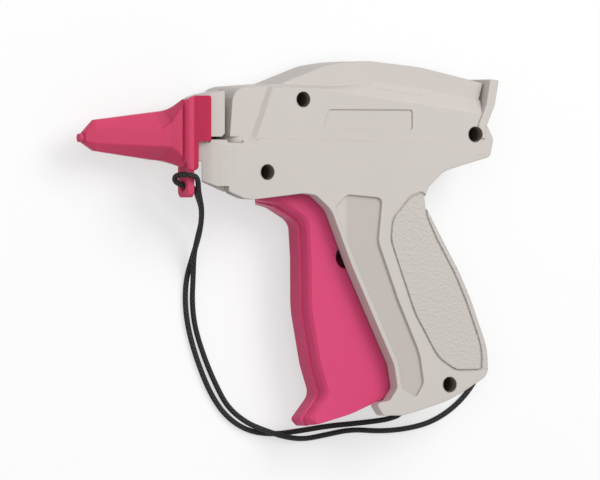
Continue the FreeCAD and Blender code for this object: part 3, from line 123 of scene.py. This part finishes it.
class Finish:
    """A material with one Principled shader, and nodes added by expression."""

    def __init__(self, name, colour, roughness, **settings):
        self.material = bpy.data.materials.new(name)
        self.material.use_nodes = True
        self.material.diffuse_color = (*colour, 1)
        self.tree = self.material.node_tree
        self.shader = self.tree.nodes["Principled BSDF"]
        self.shader.inputs["Base Color"].default_value = (*colour, 1)
        self.shader.inputs["Roughness"].default_value = roughness
        for socket, value in settings.items():
            self.shader.inputs[socket.replace("_", " ")].default_value = value

    def node(self, kind, settings=(), output=0, **values):
        """Any node: its settings first, then the values or links of its sockets."""
        node = self.tree.nodes.new("ShaderNode" + kind)
        for name, value in dict(settings).items():
            setattr(node, name, value)
        for name, value in values.items():
            name = name.replace("_", " ")
            socket = node.inputs[int(name[1:]) if name[1:].isdigit() else name]
            if isinstance(value, Link):
                self.tree.links.new(value.socket, socket)
            else:
                socket.default_value = value
        return Link(self.tree, node.outputs[output])

    def place(self):
        return self.node("TexCoord", output="Object")

    def parts_of(self, vector):
        node = self.tree.nodes.new("ShaderNodeSeparateXYZ")
        self.tree.links.new(vector.socket, node.inputs[0])
        return [Link(self.tree, output) for output in node.outputs]

    def mix(self, share, first, second):
        node = self.tree.nodes.new("ShaderNodeMix")
        node.data_type = "RGBA"
        for socket, value in ((0, share), (6, first), (7, second)):
            if isinstance(value, Link):
                self.tree.links.new(value.socket, node.inputs[socket])
            elif socket == 0:
                node.inputs[0].default_value = value
            else:
                node.inputs[socket].default_value = (*value, 1)
        return Link(self.tree, node.outputs[2])

    def set(self, name, value):
        self.tree.links.new(value.socket, self.shader.inputs[name])

    def relief(self, height, distance, strength=1.0, rounded=0.0):
        """Bump from a height, over edges that are softened by a small radius."""
        bump = self.tree.nodes.new("ShaderNodeBump")
        bump.inputs["Strength"].default_value = strength
        bump.inputs["Distance"].default_value = distance
        self.tree.links.new(height.socket, bump.inputs["Height"])
        if rounded:
            soft = self.tree.nodes.new("ShaderNodeBevel")
            soft.samples = 6
            soft.inputs["Radius"].default_value = rounded
            self.tree.links.new(soft.outputs[0], bump.inputs["Normal"])
        self.tree.links.new(bump.outputs[0], self.shader.inputs["Normal"])

    def dress(self, *names):
        """Give the named pieces this material and no other."""
        for name in names:
            nodes[name].data.materials.clear()
            nodes[name].data.materials.append(self.material)


def mesh_piece(name, verts, faces, smooth=True):
    mesh = bpy.data.meshes.new(name)
    mesh.from_pydata(verts, [], faces)
    mesh.validate()
    mesh.update()
    if smooth:
        mesh.polygons.foreach_set("use_smooth", [True] * len(mesh.polygons))
    piece = bpy.data.objects.new(name, mesh)
    bpy.context.scene.collection.objects.link(piece)
    return piece


CORD_DIAMETER = 0.0019
CORD_FLOOR = CORD_DIAMETER / 2 + 0.00002
cord_points = [
    (0.06700, -0.07840, 0.00540),
    (0.06690, -0.08460, 0.00490),
    (0.06280, -0.08660, CORD_FLOOR + 0.0010),
    (0.05760, -0.08740, CORD_FLOOR),
    (0.04900, -0.08820, CORD_FLOOR),
    (0.03860, -0.08900, CORD_FLOOR),
    (0.02760, -0.09060, CORD_FLOOR),
    (0.01660, -0.09190, CORD_FLOOR),
    (0.00620, -0.09060, CORD_FLOOR),
    (-0.00240, -0.08540, CORD_FLOOR),
    (-0.00840, -0.07760, CORD_FLOOR),
    (-0.01340, -0.06680, CORD_FLOOR),
    (-0.01700, -0.05620, CORD_FLOOR),
    (-0.01860, -0.04660, CORD_FLOOR),
    (-0.01820, -0.03740, CORD_FLOOR),
    (-0.01640, -0.02940, 0.00250),
    (-0.01600, -0.02280, 0.00620),
    (-0.01740, -0.01720, 0.01080),
    (-0.02000, -0.01240, 0.01560),
    (-0.02324, -0.00856, 0.01878),
    (-0.02540, -0.00600, 0.02090),
    (-0.02760, -0.00480, 0.02090),
    (-0.03080, -0.00470, 0.02110),
    (-0.03290, -0.00330, 0.01970),
    (-0.03260, -0.00140, 0.01950),
    (-0.03180, -0.00090, 0.02250),
    (-0.03100, -0.00090, 0.02645),
    (-0.02800, -0.00160, 0.02655),
    (-0.02630, -0.00340, 0.02475),
    (-0.02560, -0.00620, 0.02360),
    (-0.02380, -0.00926, 0.02144),
    (-0.02160, -0.01300, 0.01880),
    (-0.01940, -0.01760, 0.01440),
    (-0.01820, -0.02280, 0.00940),
    (-0.01760, -0.02860, 0.00570),
    (-0.01660, -0.03660, 0.00330),
    (-0.01600, -0.04560, CORD_FLOOR + 0.0004),
    (-0.01460, -0.05460, CORD_FLOOR),
    (-0.01060, -0.06560, CORD_FLOOR),
    (-0.00600, -0.07500, CORD_FLOOR),
    (-0.00160, -0.08240, CORD_FLOOR + 0.0003),
    (0.00500, -0.08780, CORD_FLOOR + 0.0019),
    (0.01240, -0.09060, CORD_FLOOR + 0.0028),
    (0.02000, -0.09280, CORD_FLOOR + 0.0026),
    (0.02860, -0.09360, CORD_FLOOR + 0.0007),
    (0.03760, -0.09210, CORD_FLOOR),
    (0.04800, -0.09020, CORD_FLOOR),
    (0.06000, -0.09100, CORD_FLOOR),
    (0.07160, -0.09000, CORD_FLOOR),
    (0.08160, -0.08740, CORD_FLOOR),
    (0.09100, -0.08160, CORD_FLOOR),
    (0.09820, -0.07360, CORD_FLOOR),
    (0.10100, -0.06540, CORD_FLOOR + 0.0005),
    (0.09780, -0.05880, CORD_FLOOR + 0.0022),
    (0.09180, -0.05700, 0.00520),
    (0.08360, -0.05700, 0.00540),
]
route = bpy.data.curves.new("hand_loop_route", "CURVE")
route.dimensions = "3D"
spline = route.splines.new("NURBS")
spline.points.add(len(cord_points) - 1)
for place, point in zip(spline.points, cord_points):
    place.co = (*point, 1)
spline.order_u = 3
spline.use_endpoint_u = True
spline.resolution_u = 10
route_object = bpy.data.objects.new("hand_loop_route", route)
line_mesh = bpy.data.meshes.new_from_object(route_object)
line = [v.co.copy() for v in line_mesh.vertices]
bpy.data.objects.remove(route_object)
AROUND = 12
verts, faces, distances = [], [], []
across = Vector((0, 0, 1))
run = 0.0
for i, here in enumerate(line):
    way = (line[min(i + 1, len(line) - 1)] - line[max(i - 1, 0)]).normalized()
    across = (across - way * across.dot(way)).normalized()
    other = way.cross(across)
    if i:
        run += (here - line[i - 1]).length
    distances.append(run)
    for k in range(AROUND):
        a = 2 * math.pi * k / AROUND
        verts.append(here + (across * math.cos(a) + other * math.sin(a)) * CORD_DIAMETER / 2)
for i in range(len(line) - 1):
    for k in range(AROUND):
        n = (k + 1) % AROUND
        ring, following = i * AROUND, (i + 1) * AROUND
        faces.append((ring + k, ring + n, following + n, following + k))
last = (len(line) - 1) * AROUND
faces.append(tuple(reversed(range(AROUND))))
faces.append(tuple(range(last, last + AROUND)))
hand_loop = mesh_piece("hand_loop", verts, faces)
loop_uv = hand_loop.data.uv_layers.new(name="along")
for face in hand_loop.data.polygons:
    for corner in face.loop_indices:
        vertex = hand_loop.data.loops[corner].vertex_index
        ring, k = divmod(vertex, AROUND)
        if len(face.vertices) == 4 and k == 0 and any(
            hand_loop.data.loops[c].vertex_index % AROUND == AROUND - 1
            for c in face.loop_indices
        ):
            k = AROUND
        loop_uv.data[corner].uv = (k / AROUND, distances[ring] / CORD_DIAMETER)

braid = Finish("black braid", (0.021, 0.020, 0.021), 0.62, Specular_IOR_Level=0.35)
uv = braid.node("UVMap", {"uv_map": "along"})
u, v, _ = braid.parts_of(uv)
STRANDS = 4.0
STRAND_TURNS = 1.1
left_turn = ((u * STRANDS + v * STRAND_TURNS) * (2 * math.pi)).maths("SINE")
right_turn = ((u * STRANDS - v * STRAND_TURNS) * (2 * math.pi)).maths("SINE")
strands = left_turn.most(right_turn) * 0.5 + 0.5
fuzz = braid.node("TexNoise", Vector=braid.place(), Scale=9000.0, Detail=2.0)
braid.set(
    "Base Color",
    braid.mix(
        (strands * 0.75 + fuzz * 0.25).clamped(),
        (0.003, 0.003, 0.003),
        (0.036, 0.035, 0.036),
    ),
)
braid.set("Roughness", (0.78 - strands * 0.22).clamped())
braid.relief(strands * 0.85 + fuzz * 0.15, 0.00030, 1.0)
hand_loop.data.materials.append(braid.material)
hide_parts("cord_hitch", "cord_lower_leg", "cord_upper_leg")
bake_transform(hand_loop)
braid.dress("cord_knots")

# ---------------------------------------------------------------- casing
# Two halves moulded in warm light grey ABS with a fine satin spark grain, screwed
# together from the left. The grip pad has a coarser leather grain moulded into it.
casing_grey = Finish(
    "warm grey moulded plastic", (0.585, 0.542, 0.512), 0.46, Specular_IOR_Level=0.25
)
spot = casing_grey.place()
x, y, z = casing_grey.parts_of(spot)
PAD_EDGES = [
    (0.0632, -0.0062, 0.0570, -0.0082),
    (0.0570, -0.0082, 0.0512, -0.0132),
    (0.0512, -0.0132, 0.0486, -0.0190),
    (0.0486, -0.0190, 0.0490, -0.0260),
    (0.0490, -0.0260, 0.0586, -0.0496),
    (0.0586, -0.0496, 0.0660, -0.0626),
    (0.0660, -0.0626, 0.0715, -0.0680),
    (0.0715, -0.0680, 0.0756, -0.0699),
    (0.0756, -0.0699, 0.0870, -0.0698),
]
inside = None
for x0, y0, x1, y1 in PAD_EDGES:
    long = math.hypot(x1 - x0, y1 - y0)
    ax, ay = -(y1 - y0) / long, (x1 - x0) / long
    reach = x * ax + y * ay + (-(x0 * ax + y0 * ay))
    inside = reach if inside is None else inside.least(reach)
on_pad = inside.step(0.0004, 0.0012)
# Painted shade: the screw wells are coloured dark brown below the face, and a quarter less dark
# towards the mouth, where their walls catch a little light.
SCREW_AXES = [(0.0, 0.0), (0.0146, 0.0254), (0.0836, 0.0134), (0.0730, -0.0744)]
WELL_RADIUS = 0.00262
WELL_FLOOR = 0.0130
well_shade = None
for sx, sy in SCREW_AXES:
    off = ((x - sx) ** 2.0 + (y - sy) ** 2.0) ** 0.5
    near_axis = 1.0 - off.step(WELL_RADIUS + 0.00004, WELL_RADIUS + 0.00016)
    well_shade = near_axis if well_shade is None else well_shade.most(near_axis)
deep = 1.0 - z.step(0.0228, 0.0250)
well_shade = well_shade * (deep * 0.25 + 0.75) * z.step(WELL_FLOOR, WELL_FLOOR + 0.001)
fine = casing_grey.node("TexNoise", Vector=spot, Scale=2600.0, Detail=3.0, Roughness=0.7)
cells = casing_grey.node(
    "TexVoronoi", {"feature": "SMOOTH_F1"}, Vector=spot, Scale=1150.0, Smoothness=0.35
)
folds = casing_grey.node("TexNoise", Vector=spot, Scale=1500.0, Detail=3.0, Roughness=0.65)
broad = casing_grey.node("TexNoise", Vector=spot, Scale=28.0, Detail=2.0)
leather = (cells * 0.9 + folds * 0.5) * on_pad
plastic = casing_grey.mix(
    (broad * 0.6 + fine * 0.25 + leather * 0.25).clamped(),
    (0.560, 0.518, 0.486),
    (0.610, 0.568, 0.540),
)
plastic = casing_grey.mix(on_pad * (cells * 1.6).clamped() * 0.30, plastic, (0.50, 0.46, 0.43))
# The strip along the trigger opening is polished in the mould, and its colour is darkened there
# as painted shade.
smooth_strip_shade = z.step(0.02596, 0.02606) * (1.0 - z.step(0.02614, 0.02624))
smooth_strip_shade = smooth_strip_shade * x.step(0.031, 0.033) * (1.0 - y.step(-0.0085, -0.0080))
plastic = casing_grey.mix(smooth_strip_shade * 0.55, plastic, (0.455, 0.410, 0.375))
# Painted shade: the screw wells take a dark brown colour.
casing_grey.set("Base Color", casing_grey.mix(well_shade, plastic, (0.095, 0.068, 0.050)))
casing_grey.set("Roughness", (fine * 0.14 + 0.40 + on_pad * 0.08 + well_shade * 0.3).clamped())
casing_grey.relief(fine * (0.16 - smooth_strip_shade * 0.1) + leather * 1.0, 0.00026, 0.9, rounded=0.0006)
casing_grey.dress("left_casing", "right_casing")

# ---------------------------------------------------------------- screw well lips
# A fine moulded lip stands round the mouth of each screw well: one ring, placed on
# the four screw axes by Geometry Nodes.
LIP_RADIUS = 0.00278
LIP_THICK = 0.00013
LIP_HEIGHTS = (0.0270, 0.0264, 0.0264, 0.0270)
mouths = [(sx, sy, height) for (sx, sy), height in zip(SCREW_AXES, LIP_HEIGHTS)]
lips = mesh_piece("screw_well_lips", mouths, [])
group = bpy.data.node_groups.new("ring on each screw axis", "GeometryNodeTree")
group.interface.new_socket("Geometry", in_out="INPUT", socket_type="NodeSocketGeometry")
group.interface.new_socket("Geometry", in_out="OUTPUT", socket_type="NodeSocketGeometry")
points_in = group.nodes.new("NodeGroupInput")
ring_out = group.nodes.new("NodeGroupOutput")
ring = group.nodes.new("GeometryNodeCurvePrimitiveCircle")
ring.inputs["Resolution"].default_value = 48
ring.inputs["Radius"].default_value = LIP_RADIUS
section = group.nodes.new("GeometryNodeCurvePrimitiveCircle")
section.inputs["Resolution"].default_value = 10
section.inputs["Radius"].default_value = LIP_THICK
tube = group.nodes.new("GeometryNodeCurveToMesh")
copies = group.nodes.new("GeometryNodeInstanceOnPoints")
real = group.nodes.new("GeometryNodeRealizeInstances")
coat = group.nodes.new("GeometryNodeSetMaterial")
coat.inputs["Material"].default_value = casing_grey.material
for outlet, inlet in (
    (ring.outputs["Curve"], tube.inputs["Curve"]),
    (section.outputs["Curve"], tube.inputs["Profile Curve"]),
    (points_in.outputs[0], copies.inputs["Points"]),
    (tube.outputs["Mesh"], copies.inputs["Instance"]),
    (copies.outputs["Instances"], real.inputs["Geometry"]),
    (real.outputs["Geometry"], coat.inputs["Geometry"]),
    (coat.outputs["Geometry"], ring_out.inputs[0]),
):
    group.links.new(outlet, inlet)
maker = lips.modifiers.new("rings", "NODES")
maker.node_group = group
bpy.context.view_layer.update()
evaluated = lips.evaluated_get(bpy.context.evaluated_depsgraph_get())
made = bpy.data.meshes.new_from_object(evaluated)
lips.modifiers.remove(maker)
lips.data = made
made.polygons.foreach_set("use_smooth", [True] * len(made.polygons))
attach(lips, "casing")

# ---------------------------------------------------------------- trigger
# One piece of glossy rose-pink plastic, a channel with a rounded finger rib in front.
# It hangs on the lower front screw boss and swings back into the grip.
PINK_BODY = dict(
    Specular_IOR_Level=0.07,
    Subsurface_Weight=0.35,
    Subsurface_Radius=(1.0, 0.08, 0.16),
    Subsurface_Scale=0.005,
)
trigger_pink = Finish("rose trigger plastic", (0.665, 0.070, 0.185), 0.30, **PINK_BODY)
spot = trigger_pink.place()
broad = trigger_pink.node("TexNoise", Vector=spot, Scale=35.0, Detail=2.0)
fine = trigger_pink.node("TexNoise", Vector=spot, Scale=3800.0, Detail=1.0)
trigger_pink.set(
    "Base Color",
    trigger_pink.mix(
        (broad * 0.8 + fine * 0.2).clamped(),
        (0.660, 0.066, 0.180),
        (0.715, 0.086, 0.212),
    ),
)
trigger_pink.set("Roughness", (fine * 0.08 + 0.26).clamped())
trigger_pink.relief(fine, 0.00002, 0.5, rounded=0.00035)
trigger_pink.dress("trigger")

# ---------------------------------------------------------------- needle cap
# A tapered guard moulded in the same pink, a little deeper in tone. It slides over the
# nose on two cheeks and carries the eyelet that the hand loop is hitched to.
cap_pink = Finish("rose cap plastic", (0.604, 0.068, 0.150), 0.33, **PINK_BODY)
spot = cap_pink.place()
x, y, z = cap_pink.parts_of(spot)
# Painted shade: the colour of the near cheek plate, behind its front bead, is darkened towards a
# deep red.
cheek_shade = x.step(-0.0281, -0.0276) * z.step(0.0236, 0.0242)
broad = cap_pink.node("TexNoise", Vector=spot, Scale=45.0, Detail=2.0)
fine = cap_pink.node("TexNoise", Vector=spot, Scale=3600.0, Detail=1.0)
pink = cap_pink.mix(
    (broad * 0.8 + fine * 0.2).clamped(), (0.600, 0.060, 0.140), (0.655, 0.080, 0.168)
)
cap_pink.set("Base Color", cap_pink.mix(cheek_shade * 0.75, pink, (0.470, 0.022, 0.070)))
cap_pink.set("Roughness", (fine * 0.1 + 0.26).clamped())
cap_pink.relief(fine, 0.00002, 0.5, rounded=0.0007)
cap_pink.dress("needle_cap")

# ---------------------------------------------------------------- metal pieces
# Screws are a dark brown-black steel deep in their recesses; pins, needle, rod, axle and springs
# are bright drawn steel.
black_steel = Finish("dark brown screw steel", (0.050, 0.040, 0.032), 0.5, Metallic=0.6)
spot = black_steel.place()
rub = black_steel.node("TexNoise", Vector=spot, Scale=1800.0, Detail=3.0)
black_steel.set("Base Color", black_steel.mix(rub, (0.030, 0.024, 0.019), (0.085, 0.070, 0.058)))
black_steel.set("Roughness", (rub * 0.2 + 0.42).clamped())
black_steel.relief(rub, 0.00003, 0.5, rounded=0.0002)
black_steel.dress("casing_screws")
steel = Finish("drawn steel", (0.62, 0.61, 0.60), 0.24, Metallic=1.0)
spot = steel.place()
draw = steel.node("TexNoise", Vector=spot, Scale=2600.0, Detail=2.0)
steel.set("Base Color", steel.mix(draw, (0.56, 0.55, 0.54), (0.68, 0.67, 0.66)))
steel.set("Roughness", (draw * 0.14 + 0.18).clamped())
steel.relief(draw, 0.00001, 0.4)
steel.dress(
    "drive_pin", "lever_pin", "slide_pin", "push_rod", "needle",
    "feed_axle", "index_spring", "pawl_pin", "trigger_spring",
)

# ---------------------------------------------------------------- inner mouldings
# The hidden working pieces are natural white acetal, slippery and slightly waxy.
acetal = Finish("natural acetal", (0.78, 0.78, 0.74), 0.38)
spot = acetal.place()
wax = acetal.node("TexNoise", Vector=spot, Scale=900.0, Detail=2.0)
acetal.set("Base Color", acetal.mix(wax, (0.74, 0.74, 0.70), (0.81, 0.81, 0.77)))
acetal.set("Roughness", (wax * 0.12 + 0.32).clamped())
acetal.relief(wax, 0.00003, 0.4, rounded=0.0003)
acetal.dress("drive_lever", "slide", "needle_base", "clip_guide", "feed_wheel", "feed_pawl")

# ---------------------------------------------------------------- floor and light
# A plain white sweep of card that the tool lies on. The light comes from above and
# behind the grip, and the side that the muzzle points to is left dim.
FLOOR_REACH = 3
FLOOR_LEVEL = -0.0001
CARD_GREY = (0.60, 0.60, 0.60)
CARD_WHITE = (0.93, 0.93, 0.93)
GLOW_SHARE = 0.57
corners = [
    (x * FLOOR_REACH, y * FLOOR_REACH, FLOOR_LEVEL)
    for x, y in ((-1, -1), (1, -1), (1, 1), (-1, 1))
]
floor = mesh_piece("floor", corners, [(0, 1, 2, 3)], False)
paper = Finish("white card", CARD_GREY, 0.95, Specular_IOR_Level=0.0)
rays = paper.tree.nodes.new("ShaderNodeLightPath")
seen = Link(paper.tree, rays.outputs["Is Camera Ray"])
for name in ("Is Glossy Ray", "Is Transmission Ray"):
    seen = seen.most(Link(paper.tree, rays.outputs[name]))
paper.set("Base Color", paper.mix(seen, CARD_GREY, CARD_WHITE))
glow = paper.tree.nodes.new("ShaderNodeEmission")
glow.inputs["Strength"].default_value = 1.0
blend = paper.tree.nodes.new("ShaderNodeMixShader")
paper.tree.links.new((seen * GLOW_SHARE).socket, blend.inputs[0])
paper.tree.links.new(paper.shader.outputs[0], blend.inputs[1])
paper.tree.links.new(glow.outputs[0], blend.inputs[2])
paper.tree.links.new(blend.outputs[0], paper.tree.nodes["Material Output"].inputs["Surface"])
floor.data.materials.append(paper.material)

world = bpy.data.worlds.new("studio")
bpy.context.scene.world = world
world.use_nodes = True
world.node_tree.nodes["Background"].inputs["Color"].default_value = (1, 1, 1, 1)
world.node_tree.nodes["Background"].inputs["Strength"].default_value = 0.46
LIGHTS_AIM = Vector((0.02, -0.02, 0))


def lamp(name, place, size, watts):
    light = bpy.data.objects.new(name, bpy.data.lights.new(name, "AREA"))
    light.data.size = size
    light.data.energy = watts
    light.location = place
    aim = LIGHTS_AIM - Vector(place)
    light.rotation_euler = aim.to_track_quat("-Z", "Y").to_euler()
    bpy.context.scene.collection.objects.link(light)


lamp("overhead", (0.50, 0.62, 1.10), 0.9, 11.0)
lamp("fill", (-0.60, 0.15, 1.15), 0.8, 3.4)

bpy.context.scene.view_settings.view_transform = "Standard"
